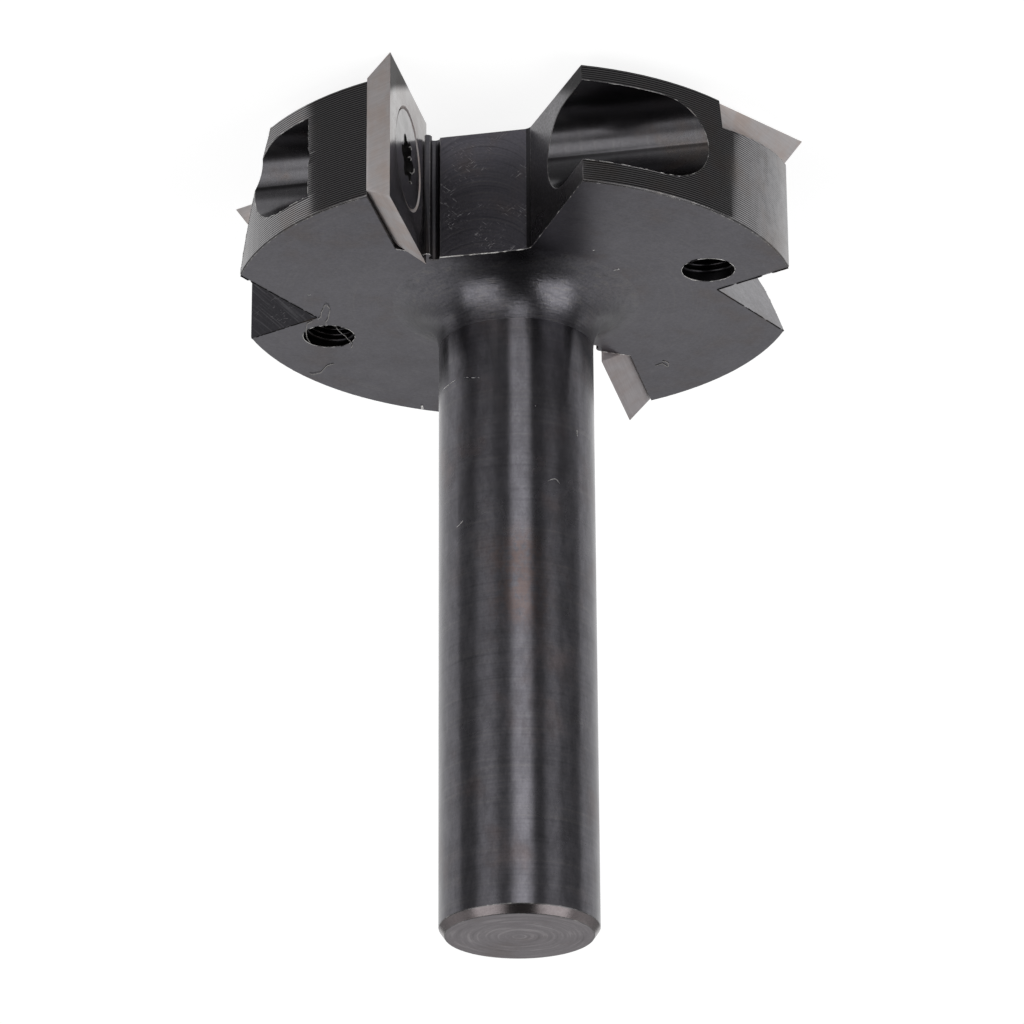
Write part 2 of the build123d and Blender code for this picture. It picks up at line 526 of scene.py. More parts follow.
    def haze(self, graph: Graph, place: Socket) -> Socket:
        """Faint upright blotches, as a number to shade the colour by."""
        upright = graph.vector("MULTIPLY", place, (1.0, 1.0, 0.45))
        low, high = 1 - self.blotches, 1 + self.blotches
        return graph.rise(graph.noise(upright, *OXIDE_HAZE), 0.3, 0.7, low, high)

    def painted_slot_sheen(self, graph: Graph, level: Socket) -> Socket:
        """A painted highlight band and a painted dark line along a driver slot's round wall.

        Args:
            graph: the tree to add to.
            level: the point's height in millimetres.

        Returns:
            A number to shade the colour by.
        """
        # the level of the painted dark line
        crease = LAYOUT.painted_slot_line_mm
        band = graph.rise(level, crease - 1.8, crease, 1.0, 1.45)
        line = graph.rise(level, crease - 0.04, crease + 0.06, 1.0, 0.3)
        past_line = graph.rise(level, crease + 0.16, crease + 0.5, 0.0, 0.75)
        fade = graph.rise(level, crease + 0.5, crease + 1.8, 1.0, 0.7)
        sheen = graph.math("MULTIPLY", band, graph.math("ADD", line, past_line))
        return graph.math("MULTIPLY", sheen, fade)

    def spot(self, graph: Graph, place: Socket, middle: Point) -> Socket:
        """How strongly one mottled spot of stain shows."""
        away = graph.vector("LENGTH", graph.vector("SUBTRACT", place, middle))
        shown = graph.rise(away, 0.5, self.spot_reach_mm, 0.5, 0.0)
        return graph.math("MULTIPLY", shown, graph.rise(graph.noise(place, *STAIN_MOTTLE), 0.35, 0.6))

    def material(self) -> bpy.types.Material:
        """The finished material."""
        material, graph = new_material(self.name)
        place = graph.place_mm()
        _, _, level = graph.split(place)
        lines = self.lines(graph, place)
        cloud = graph.noise(place, *OXIDE_CLOUD)
        speck = graph.noise(place, *OXIDE_SPECK)
        colour = self.worn_colour(graph, place, lines)
        brown = graph.math("MULTIPLY", graph.rise(cloud, 0.52, 0.72), self.staining)
        colour = graph.tint(brown, colour, self.stain)
        contrast = 0.35 * self.grain
        colour = graph.shaded(colour, graph.rise(speck, 0.2, 0.8, 1 - contrast, 1 + contrast))
        height = graph.math("ADD", lines, graph.math("MULTIPLY", speck, self.grain))
        rough = graph.rise(cloud, 0.3, 0.7, self.roughness - 0.03, self.roughness + 0.04)
        if self.smoother_low:
            smoother = graph.rise(level, *self.smoother_mm, self.smoother_low, 0.0)
            rough = graph.math("SUBTRACT", rough, smoother)
        if self.blotches:
            colour = graph.shaded(colour, self.haze(graph, place))
        # painted highlight band and painted dark line on the driver slots' round walls
        if self.marks is Marks.ALONG_SLOT:
            colour = graph.shaded(colour, self.painted_slot_sheen(graph, level))
        for middle in self.spots_mm:
            colour = graph.tint(self.spot(graph, place, middle), colour, self.stain)
        if self.scratches:
            both = self.scratched(graph, place)
            colour = graph.tint(both, colour, self.scratch_colour)
            height = graph.math("SUBTRACT", height, both)
        feeds = {
            "Base Color": colour,
            "Metallic": 1.0,
            "Roughness": rough,
            "Anisotropic": self.anisotropy,
            "Normal": graph.bump(self.depth_mm, height),
        }
        if self.anisotropy:
            feeds["Tangent"] = self.spread(graph, place)
        graph.surface(feeds)
        return material


@dataclass(frozen=True)
class GroundMetalFinish:
    """Ground or turned bare metal: carbide, screw steel and the bright edges of the body."""

    name: str
    colour: Colour
    mottle: Colour
    roughness: float = 0.36
    metallic: float = 1.0
    line_mm: float = 0.06
    line_run_mm: float = 4.0
    depth_mm: float = 0.0012
    direction: Point = (0.0, 0.0, 1.0)

    def material(self) -> bpy.types.Material:
        """The finished material."""
        material, graph = new_material(self.name)
        place = graph.place_mm()
        x, y, _ = graph.split(place)
        across = graph.vector("DOT_PRODUCT", place, self.direction)
        along = graph.math("ADD", x, y), graph.math("SUBTRACT", x, y)
        lines = graph.drawn_out(across, along, (self.line_mm, self.line_run_mm), 2.0, 0.5)
        cloud = graph.noise(place, *METAL_CLOUD)
        speck = graph.noise(place, *METAL_SPECK)
        colour = graph.tint(graph.rise(cloud, 0.35, 0.7), self.colour, self.mottle)
        colour = graph.shaded(colour, graph.rise(lines, 0.25, 0.75, 0.93, 1.07))
        height = graph.math("ADD", lines, graph.math("MULTIPLY", speck, 0.4))
        rough = graph.rise(cloud, 0.3, 0.7, self.roughness - 0.03, self.roughness + 0.05)
        graph.surface(
            {
                "Base Color": colour,
                "Metallic": self.metallic,
                "Roughness": rough,
                "Normal": graph.bump(self.depth_mm, height),
            }
        )
        return material


@dataclass(frozen=True)
class LintFinish:
    """Pale textile lint."""

    name: str = "lint"
    colour: Colour = (0.5, 0.48, 0.46)
    dark_colour: Colour = (0.3, 0.288, 0.276)
    roughness: float = 0.8

    def material(self) -> bpy.types.Material:
        """The finished material."""
        material, graph = new_material(self.name)
        fleck = graph.noise(graph.place_mm(), *LINT_FLECK)
        colour = graph.tint(fleck, self.colour, self.dark_colour)
        graph.surface({"Base Color": colour, "Roughness": self.roughness})
        return material


class Region(Enum):
    """The body's surfaces, each with the finish that its machining left."""

    SHANK = OxideFinish(
        "shank_oxide",
        Marks.AROUND,
        roughness=0.3,
        anisotropy=0.8,
        colour=(0.1, 0.097, 0.108),
        depth_mm=0.0014,
        wear=0.3,
        painted_groove_shade=0.16,
        smoother_low=0.09,
        blotches=0.16,
        stain=(0.135, 0.092, 0.08),
        spots_mm=((-0.1, -6.0, 34.6), (-0.25, -6.0, 38.2)),
    )
    FILLET = OxideFinish(
        "fillet_oxide",
        Marks.AROUND,
        roughness=0.3,
        anisotropy=0.5,
        colour=(0.112, 0.109, 0.121),
        depth_mm=0.02,
        line_mm=0.14,
        line_run_mm=1.1,
        grain=0.5,
        wear=0.6,
        painted_groove_shade=0.3,
        staining=0.08,
    )
    END = OxideFinish(
        "end_oxide",
        Marks.CONCENTRIC,
        colour=(0.19, 0.172, 0.184),
        worn=(0.34, 0.315, 0.325),
        wear=0.7,
        roughness=0.4,
        line_mm=0.3,
        line_run_mm=3.0,
        depth_mm=0.008,
        painted_groove_shade=0.3,
    )
    CHAMFER = OxideFinish(
        "chamfer_oxide",
        Marks.CONCENTRIC,
        colour=(0.17, 0.15, 0.153),
        worn=(0.26, 0.235, 0.235),
        wear=0.4,
        roughness=0.24,
        line_mm=0.3,
        line_run_mm=2.0,
        stain=(0.1, 0.072, 0.066),
        staining=0.5,
    )
    UPPER = OxideFinish(
        "upper_oxide",
        Marks.CONCENTRIC,
        colour=(0.105, 0.101, 0.114),
        grain=0.45,
        blotches=0.05,
        roughness=0.33,
        anisotropy=0.5,
        depth_mm=0.0014,
        staining=0.2,
    )
    RIM = OxideFinish(
        "rim_oxide",
        Marks.GROOVED,
        worn=(0.28, 0.272, 0.275),
        wear=0.9,
        roughness=0.14,
        anisotropy=0.6,
        depth_mm=0.0,
        painted_groove_shade=0.8,
        scuffs=0.9,
    )
    CROWN = OxideFinish("crown_oxide", Marks.CONCENTRIC, roughness=0.4, depth_mm=0.003)
    GULLET_FLOOR = OxideFinish(
        "gullet_oxide",
        Marks.ARCS,
        colour=(0.1, 0.096, 0.112),
        wear=0.5,
        roughness=0.34,
        line_mm=0.2,
        depth_mm=0.012,
        painted_groove_shade=0.35,
        scratches=1.0,
    )
    FAR_WALL = OxideFinish(
        "far_wall_oxide",
        Marks.GRAIN,
        colour=(0.15, 0.145, 0.155),
        worn=(0.32, 0.315, 0.325),
        wear=0.7,
        roughness=0.3,
        line_mm=0.16,
        grain=1.2,
    )
    SEAT = OxideFinish("seat_oxide", Marks.LEVEL, colour=(0.09, 0.088, 0.097), roughness=0.3)
    SLOT = OxideFinish(
        "slot_oxide",
        Marks.ALONG_SLOT,
        colour=(0.094, 0.092, 0.098),
        roughness=0.24,
        staining=0.4,
        line_mm=0.4,
        depth_mm=0.0015,
    )
    STEEP = OxideFinish(
        "steep_wall_painted_shade",
        Marks.SLOPING,
        # near-black colour: painted shade on the chip notches' steep walls
        colour=(0.03, 0.029, 0.033),
        worn=(0.1, 0.098, 0.105),
        wear=0.5,
        roughness=0.34,
        line_mm=0.16,
        line_run_mm=5.0,
        staining=0.0,
        scratches=0.3,
    )
    SLANTED = OxideFinish(
        "slanted_wall_oxide",
        Marks.GRAIN,
        colour=(0.106, 0.101, 0.114),
        wear=0.4,
        roughness=0.32,
        line_mm=0.3,
        painted_groove_shade=0.45,
        grain=1.2,
        blotches=0.15,
    )
    POCKET = OxideFinish("pocket_oxide", Marks.GRAIN, colour=(0.035, 0.034, 0.038), wear=0.05, roughness=0.36)
    EDGE = OxideFinish(
        "worn_edge", Marks.GRAIN, colour=(0.13, 0.126, 0.13), worn=(0.42, 0.41, 0.4), wear=0.7, line_mm=0.5
    )


EdgesByPair = dict[frozenset[Region], list[tuple[Vector, Vector]]]


class Slot(Enum):
    """The record's material slots."""

    BODY = "body_steel"
    CARBIDE = "carbide"
    SCREW = "screw_steel"


def merged_copy(node: str) -> bmesh.types.BMesh:
    """A CAD node's mesh with its loose triangles joined, all in the first material.

    Args:
        node: the CAD node's name.

    Returns:
        The merged mesh, in metres.
    """
    mesh = bmesh.new()
    mesh.from_mesh(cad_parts[node].data)
    bmesh.ops.remove_doubles(mesh, verts=mesh.verts, dist=JOINED_MM * MM)
    for face in mesh.faces:
        face.material_index = 0
    return mesh


def put_in_order(mesh: bmesh.types.BMesh) -> None:
    """Orders a mesh's points, edges and faces by where they are, so that each run gives them alike.

    Args:
        mesh: the mesh.
    """
    by_place = sorted(mesh.verts, key=lambda vert: tuple(vert.co))
    ranks = {vert: rank for rank, vert in enumerate(by_place)}
    mesh.verts.sort(key=ranks.get)
    for parts in (mesh.edges, mesh.faces):
        by_corners = sorted(parts, key=lambda part: sorted(ranks[vert] for vert in part.verts))
        places = {part: place for place, part in enumerate(by_corners)}
        parts.sort(key=places.get)


def sharpen(mesh: bmesh.types.BMesh, degrees: float, border: int = -1) -> None:
    """Smooth shading with a crease wherever two faces meet at more than the angle.

    Args:
        mesh: the mesh to shade.
        degrees: the angle.
        border: a material number whose faces are creased all round, so flat faces stay flat.
    """
    limit = math.radians(degrees)
    for face in mesh.faces:
        face.smooth = True
    for edge in mesh.edges:
        bordered = [face.material_index == border for face in edge.link_faces].count(True) == 1
        edge.smooth = edge.is_manifold and edge.calc_face_angle(0.0) < limit and not bordered


def sharp_edges(mesh: bmesh.types.BMesh, degrees: float) -> list[bmesh.types.BMEdge]:
    """The edges whose two faces meet at more than the angle."""
    limit = math.radians(degrees)
    return [edge for edge in mesh.edges if edge.is_manifold and edge.calc_face_angle() > limit]


def round_off(
    mesh: bmesh.types.BMesh, edges: list[bmesh.types.BMEdge], width_mm: float, material: int
) -> None:
    """Rounds edges a little.

    Args:
        mesh: their mesh.
        edges: the edges.
        width_mm: how far the rounding reaches on each side.
        material: the number of the material that it wears.
    """
    bmesh.ops.bevel(
        mesh,
        geom=edges,
        offset=width_mm * MM,
        offset_type="OFFSET",
        segments=2,
        profile=0.5,
        affect="EDGES",
        clamp_overlap=False,
        material=material,
        miter_outer="SHARP",
        miter_inner="SHARP",
    )


def piece_from(
    mesh: bmesh.types.BMesh, name: str, materials: Iterable[bpy.types.Material]
) -> bpy.types.Object:
    """A linked object made from a finished mesh.

    Args:
        mesh: the mesh, freed here.
        name: the piece's name.
        materials: its materials in slot order.

    Returns:
        The new object at the origin.
    """
    data = bpy.data.meshes.new(name)
    mesh.to_mesh(data)
    mesh.free()
    for material in materials:
        data.materials.append(material)
    piece = bpy.data.objects.new(name, data)
    bpy.context.scene.collection.objects.link(piece)
    return piece


def settle(piece: bpy.types.Object, replaces: Sequence[str] = ()) -> None:
    """Hands a finished piece over to the frame.

    Args:
        piece: the finished piece.
        replaces: the CAD nodes that it stands for.
    """
    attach(piece, ROOT)
    if replaces:
        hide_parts(*replaces)
    LOG.info("%s: %d faces", piece.name, len(piece.data.polygons))


class Form:
    """A geometry node tree with named sizes that makes one kind of small piece."""

    def __init__(self, name: str, sizes: Sequence[str], material: bpy.types.Material) -> None:
        """Starts the tree with its sockets.

        Args:
            name: the tree's name.
            sizes: the names of its size inputs.
            material: what the made piece wears.
        """
        self.tree = bpy.data.node_groups.new(name, "GeometryNodeTree")
        self.graph = Graph(self.tree)
        self.material = material
        for direction in ("INPUT", "OUTPUT"):
            self.tree.interface.new_socket("Geometry", in_out=direction, socket_type="NodeSocketGeometry")
        for size in sizes:
            self.tree.interface.new_socket(size, in_out="INPUT", socket_type="NodeSocketFloat")
        self.given = self.graph.node("NodeGroupInput").outputs

    def close(self, geometry: Socket) -> None:
        """Ends the tree: real geometry that wears the material."""
        real = self.graph.node("GeometryNodeRealizeInstances", {0: geometry}).outputs[0]
        dressed = self.graph.node("GeometryNodeSetMaterial", {0: real, "Material": self.material})
        self.graph.node("NodeGroupOutput", {0: dressed.outputs[0]})

    def grow(self, source: bmesh.types.BMesh, sizes: dict[str, float]) -> bmesh.types.BMesh:
        """Runs the tree once and keeps its result as a plain mesh.

        Args:
            source: the mesh to follow, freed here.
            sizes: the tree's sizes by name.

        Returns:
            The made mesh.
        """
        holder = piece_from(source, self.tree.name, [])
        modifier = holder.modifiers.new(self.tree.name, "NODES")
        modifier.node_group = self.tree
        for item in self.tree.interface.items_tree:
            if item.in_out == "INPUT" and item.name in sizes:
                modifier[item.identifier] = sizes[item.name]
        evaluated = holder.evaluated_get(bpy.context.evaluated_depsgraph_get())
        data = bpy.data.meshes.new_from_object(evaluated)
        bpy.data.objects.remove(holder)
        made = bmesh.new()
        made.from_mesh(data)
        bpy.data.meshes.remove(data)
        bmesh.ops.recalc_face_normals(made, faces=made.faces)
        return made


def polylines(runs_mm: Iterable[Sequence[Point]]) -> bmesh.types.BMesh:
    """Open lines, as a mesh without faces.

    Args:
        runs_mm: the points of each line in millimetres.

    Returns:
        The mesh, in metres.
    """
    mesh = bmesh.new()
    for run in runs_mm:
        verts = [mesh.verts.new(Vector(point) * MM) for point in run]
        for first, second in zip(verts, verts[1:]):
            mesh.edges.new((first, second))
    return mesh


def strand_form(name: str, material: bpy.types.Material) -> Form:
    """The form of burrs, painted shadow lines, scratches and fibres: a thin uneven strand along every line of
    a mesh.

    Args:
        name: the tree's name.
        material: what the strands wear.

    Returns:
        The form. Its sizes are Spacing, Width, Waver, Grain and Gaps.
    """
    form = Form(name, ("Spacing", "Width", "Waver", "Grain", "Gaps"), material)
    graph, given = form.graph, form.given
    line = graph.node("GeometryNodeMeshToCurve", {0: given["Geometry"]}).outputs[0]
    even = graph.node("GeometryNodeResampleCurve", {0: line, "Length": given["Spacing"]}, mode="LENGTH")
    place = graph.node("GeometryNodeInputPosition").outputs[0]
    feeds = {"Vector": place, "Scale": given["Grain"], "Detail": 2.0}
    colour = graph.node("ShaderNodeTexNoise", feeds).outputs["Color"]
    centred = graph.vector("SUBTRACT", colour, (0.5, 0.5, 0.5))
    offset = graph.node("ShaderNodeVectorMath", {0: centred, "Scale": given["Waver"]}, operation="SCALE")
    feeds = {0: even.outputs[0], "Offset": offset.outputs["Vector"]}
    uneven = graph.node("GeometryNodeSetPosition", feeds).outputs[0]
    moved = graph.vector("ADD", place, PATCH_SHIFT)
    feeds = {"Vector": moved, "Scale": given["Grain"], "Detail": 3.0}
    patches = graph.node("ShaderNodeTexNoise", feeds).outputs[0]
    low = graph.math("SUBTRACT", given["Gaps"], GAP_EDGES[0])
    high = graph.math("ADD", given["Gaps"], GAP_EDGES[1])
    swell = graph.rise(patches, low, high, THINNEST, 1.0)
    section = graph.node("GeometryNodeCurvePrimitiveCircle", {"Resolution": 6, "Radius": given["Width"]})
    feeds = {0: uneven, "Profile Curve": section.outputs[0], "Scale": swell, "Fill Caps": True}
    form.close(graph.node("GeometryNodeCurveToMesh", feeds).outputs[0])
    return form


@dataclass
class HoleThreads:
    """The internal threads of the face screws' holes, from each screw's tip to the open mouth."""

    pitch_mm: float = 0.5
    ridge_mm: float = 0.22
    start_mm: float = 7.3
    mouth_gap_mm: float = 0.5
    steps_per_turn: int = 48
    finish: OxideFinish = OxideFinish(
        "thread_oxide", Marks.GRAIN, colour=(0.03, 0.029, 0.032), wear=0.1, roughness=0.3, line_mm=0.4
    )

    def build(self) -> bpy.types.Object:
        """The finished threads as one piece."""
        form = Form("thread_form", ("Radius", "Pitch", "Turns", "Ridge"), self.finish.material())
        graph, given = form.graph, form.given
        feeds = {
            "Resolution": self.steps_per_turn,
            "Rotations": given["Turns"],
            "Start Radius": given["Radius"],
            "End Radius": given["Radius"],
            "Height": graph.math("MULTIPLY", given["Pitch"], given["Turns"]),
            "Reverse": True,
        }
        helix = graph.node("GeometryNodeCurveSpiral", feeds).outputs[0]
        upright = graph.node("GeometryNodeSetCurveNormal", {0: helix}, mode="Z_UP").outputs[0]
        ridge = graph.node("GeometryNodeCurvePrimitiveCircle", {"Resolution": 4, "Radius": given["Ridge"]})
        feeds = {0: upright, "Profile Curve": ridge.outputs[0], "Fill Caps": True}
        form.close(graph.node("GeometryNodeCurveToMesh", feeds).outputs[0])
        middle, up = LAYOUT.face_middle_mm, -LAYOUT.face_out
        reach = (LAYOUT.upper_level_mm - middle.z) / up.z - self.mouth_gap_mm - self.start_mm
        sizes = {
            "Radius": LAYOUT.tapped_radius_mm * MM,
            "Pitch": self.pitch_mm * MM,
            "Turns": reach / self.pitch_mm,
            "Ridge": self.ridge_mm * MM,
        }
        one = form.grow(bmesh.new(), sizes)
        across = up.cross(LAYOUT.face_in)
        turn = Matrix((across, up.cross(across), up)).transposed().to_4x4()
        place = Matrix.Translation((middle + up * self.start_mm) * MM) @ turn
        bmesh.ops.transform(one, matrix=place, verts=one.verts)
        pair = bmesh.ops.duplicate(one, geom=one.verts[:] + one.edges[:] + one.faces[:])["geom"]
        second = [part for part in pair if isinstance(part, bmesh.types.BMVert)]
        bmesh.ops.transform(one, matrix=Matrix.Rotation(math.pi, 4, "Z"), verts=second)
        threads = piece_from(one, "hole_threads", [form.material])
        settle(threads)
        return threads


@dataclass(frozen=True)
class BurrRun:
    """Edges between these pairs of surfaces carry a broken burr of this size, or a broken line of painted
    shadow where the run is dark.
    """

    pairs: tuple[tuple[Region, Region], ...]
    width_mm: float
    gaps: float
    # a dark run is a near-black strand of painted shadow along the edge
    dark: bool = False


@dataclass(frozen=True)
class ScratchRun:
    """Bright scratches, glints or specks of one width, each by its points on the body."""

    width_mm: float
    gaps: float
    lines_mm: tuple[tuple[Point, ...], ...]


@dataclass
class EdgeBurrsAndShadowLines:
    """Broken burrs and painted shadow lines along the body's milled edges, and the scratches that shine like
    them.
    """

    spacing_mm: float = 0.09
    waver_mm: float = 0.05
    grain_per_m: float = 1700.0
    joined_mm: float = 0.001
    runs: tuple[BurrRun, ...] = (
        BurrRun(((Region.UPPER, Region.GULLET_FLOOR), (Region.FILLET, Region.GULLET_FLOOR)), 0.055, 0.47),
        BurrRun(((Region.UPPER, Region.POCKET),), 0.03, 0.46),
        BurrRun(
            (
                (Region.UPPER, Region.FAR_WALL),
                (Region.UPPER, Region.SLANTED),
                (Region.UPPER, Region.STEEP),
                (Region.RIM, Region.SLOT),
                (Region.RIM, Region.SLANTED),
            ),
            0.022,
            0.55,
        ),
        BurrRun(((Region.RIM, Region.UPPER),), 0.012, 0.62),
        # near-black strands of painted shadow along the chip notches' upper edges
        BurrRun(((Region.UPPER, Region.SLANTED), (Region.UPPER, Region.STEEP)), 0.06, 0.4, dark=True),
    )
    scratches: tuple[ScratchRun, ...] = (
        ScratchRun(
            0.022,
            0.42,
            (
                ((3.99, -4.51, 19.41), (3.68, -4.76, 19.51)),
                ((3.41, -4.96, 19.63), (2.84, -5.31, 19.78)),
                ((5.68, -1.98, 19.34), (5.4, -2.67, 19.37), (5.08, -3.23, 19.33), (4.64, -3.83, 19.3)),
                ((-1.43, -5.85, 22.34), (-1.45, -5.85, 22.42)),
                ((16.17, -1.85, 11.1), (15.89, -1.84, 11.1)),
                ((-7.52, -5.94, 11.1), (-7.71, -6.06, 11.12), (-7.97, -6.2, 11.11)),
                ((-5.9, -9.48, 11.1), (-6.02, -9.54, 11.11)),
                ((-2.35, -5.53, 28.46), (-2.65, -5.39, 28.24), (-2.96, -5.23, 28.18), (-3.26, -5.05, 28.51)),
                ((4.54, -3.93, 31.51), (4.31, -4.19, 31.37), (4.08, -4.41, 31.22)),
                ((-4.6, -3.86, 23.55), (-4.6, -3.87, 24.05)),
            ),
        ),
        ScratchRun(
            0.032,
            0.3,
            (
                ((8.0, -14.67, 4.87), (7.89, -14.18, 4.59), (7.83, -13.86, 4.56), (7.83, -13.89, 4.7)),
                ((8.06, -14.97, 5.88), (7.93, -14.37, 5.53), (7.84, -13.95, 5.48), (7.89, -14.17, 5.74)),
                ((7.93, -14.35, 6.84), (7.8, -13.74, 6.66), (7.66, -13.06, 6.14), (7.66, -13.06, 5.88)),
                ((7.93, -14.34, 7.57), (7.84, -13.92, 7.46), (7.82, -13.85, 7.56)),
            ),
        ),
        ScratchRun(0.11, 0.1, (((7.74, 19.55, 11.08), (7.7, 19.66, 11.2), (7.7, 19.8, 11.22)),)),
    )
    finish: GroundMetalFinish = GroundMetalFinish(
        "bright_burr", colour=(0.8, 0.79, 0.78), mottle=(0.6, 0.58, 0.56), roughness=0.4
    )
    # the near-black finish of the painted shadow lines
    shadow_line_finish: OxideFinish = OxideFinish(
        "painted_shadow_line", Marks.GRAIN, colour=(0.016, 0.015, 0.017), worn=(0.05, 0.049, 0.05), roughness=0.5
    )

    def followed(self, run: BurrRun, edges: EdgesByPair) -> bmesh.types.BMesh:
        """The lines that one run of burrs or of painted shadow follows.

        Args:
            run: the run.
            edges: the body's sharp edges as pairs of ends, by the two surfaces that meet there.

        Returns:
            A mesh of the lines, without faces.
        """
        lines = bmesh.new()
        for pair in run.pairs:
            for first, second in edges.get(frozenset(pair), []):
                lines.edges.new((lines.verts.new(first), lines.verts.new(second)))
        bmesh.ops.remove_doubles(lines, verts=lines.verts, dist=self.joined_mm * MM)
        return lines

    def build(self, edges: EdgesByPair, box: Sequence[Sequence[float]]) -> bpy.types.Object:
        """Makes the burrs, the painted shadow lines and the scratches.

        Args:
            edges: the body's sharp edges as pairs of ends, by the two surfaces that meet there.
            box: the corners of the source's box, which the burrs stay inside.

        Returns:
            All of them as one piece.
        """
        # the second form makes the near-black strands of painted shadow
        finishes = {"burr_form": self.finish, "painted_shadow_line_form": self.shadow_line_finish}
        forms = [strand_form(name, finish.material()) for name, finish in finishes.items()]
        sizes = {"Spacing": self.spacing_mm * MM, "Waver": self.waver_mm * MM, "Grain": self.grain_per_m}
        parts = [(polylines(run.lines_mm), run.width_mm, run.gaps, False) for run in self.scratches]
        parts += [(self.followed(run, edges), run.width_mm, run.gaps, run.dark) for run in self.runs]
        whole = bmesh.new()
        for lines, width_mm, gaps, dark in parts:
            made = forms[int(dark)].grow(lines, {**sizes, "Width": width_mm * MM, "Gaps": gaps})
            for face in made.faces:
                face.material_index = int(dark)
                face.smooth = True
            data = bpy.data.meshes.new("strands")
            made.to_mesh(data)
            made.free()
            whole.from_mesh(data)
            bpy.data.meshes.remove(data)
        for vert in whole.verts:
            for axis, (low, high) in enumerate(zip(*box)):
                vert.co[axis] = min(max(vert.co[axis], low), high)
        burrs = piece_from(whole, "edge_burrs_and_shadow_lines", [form.material for form in forms])
        settle(burrs)
        return burrs


@dataclass
class LintFibres:
    """The few pale fibres that cling to the head's upper face, some of them at a hole's mouth."""

    width_mm: float = 0.028
    spacing_mm: float = 0.12
    waver_mm: float = 0.12
    grain_per_m: float = 900.0
    gaps: float = 0.3
    fibres_mm: tuple[tuple[Point, ...], ...] = (
        (
            (15.5, 2.56, 11.15), (15.28, 2.06, 11.18), (15.18, 1.27, 11.16), (14.98, 0.38, 11.15),
            (14.89, -0.06, 11.17), (14.73, -0.13, 11.2), (14.58, 0.28, 11.18), (14.52, 0.94, 11.16),
            (14.64, 1.85, 11.15), (14.74, 2.52, 11.17), (14.92, 3.07, 11.16), (14.93, 3.71, 11.12),
        ),
        (
            (14.16, 4.17, 11.15), (13.99, 4.8, 11.1), (13.72, 5.42, 11.12), (13.45, 5.84, 11.15),
            (13.33, 6.3, 11.16), (13.14, 6.7, 11.18), (12.97, 7.33, 11.18), (13.09, 7.92, 11.15),
        ),
        (
            (16.61, 12.97, 11.15), (16.34, 13.09, 11.16), (15.95, 12.86, 11.18), (15.7, 12.74, 11.16),
            (15.42, 11.99, 11.15), (15.21, 11.52, 11.17), (14.9, 11.21, 11.18), (14.61, 11.1, 11.15),
        ),
        (
            (15.97, 2.95, 11.14), (16.42, 3.4, 11.14), (16.55, 4.72, 11.15), (16.55, 5.85, 11.14),
            (16.33, 7.0, 11.14),
        ),
        (
            (-11.2, 11.83, 11.14), (-11.74, 11.37, 11.16), (-12.09, 11.98, 11.15), (-12.22, 11.98, 11.15),
            (-12.22, 11.45, 11.16), (-12.13, 11.24, 11.15), (-11.89, 11.0, 11.15), (-11.71, 11.0, 11.14),
        ),
    )
    finish: LintFinish = LintFinish()

    def build(self) -> bpy.types.Object:
        """The finished fibres as one piece."""
        form = strand_form("fibre_form", self.finish.material())
        sizes = {
            "Spacing": self.spacing_mm * MM,
            "Width": self.width_mm * MM,
            "Waver": self.waver_mm * MM,
            "Grain": self.grain_per_m,
            "Gaps": self.gaps,
        }
        made = form.grow(polylines(self.fibres_mm), sizes)
        for face in made.faces:
            face.smooth = True
        fibres = piece_from(made, "lint_fibres", [form.material])
        settle(fibres)
        return fibres


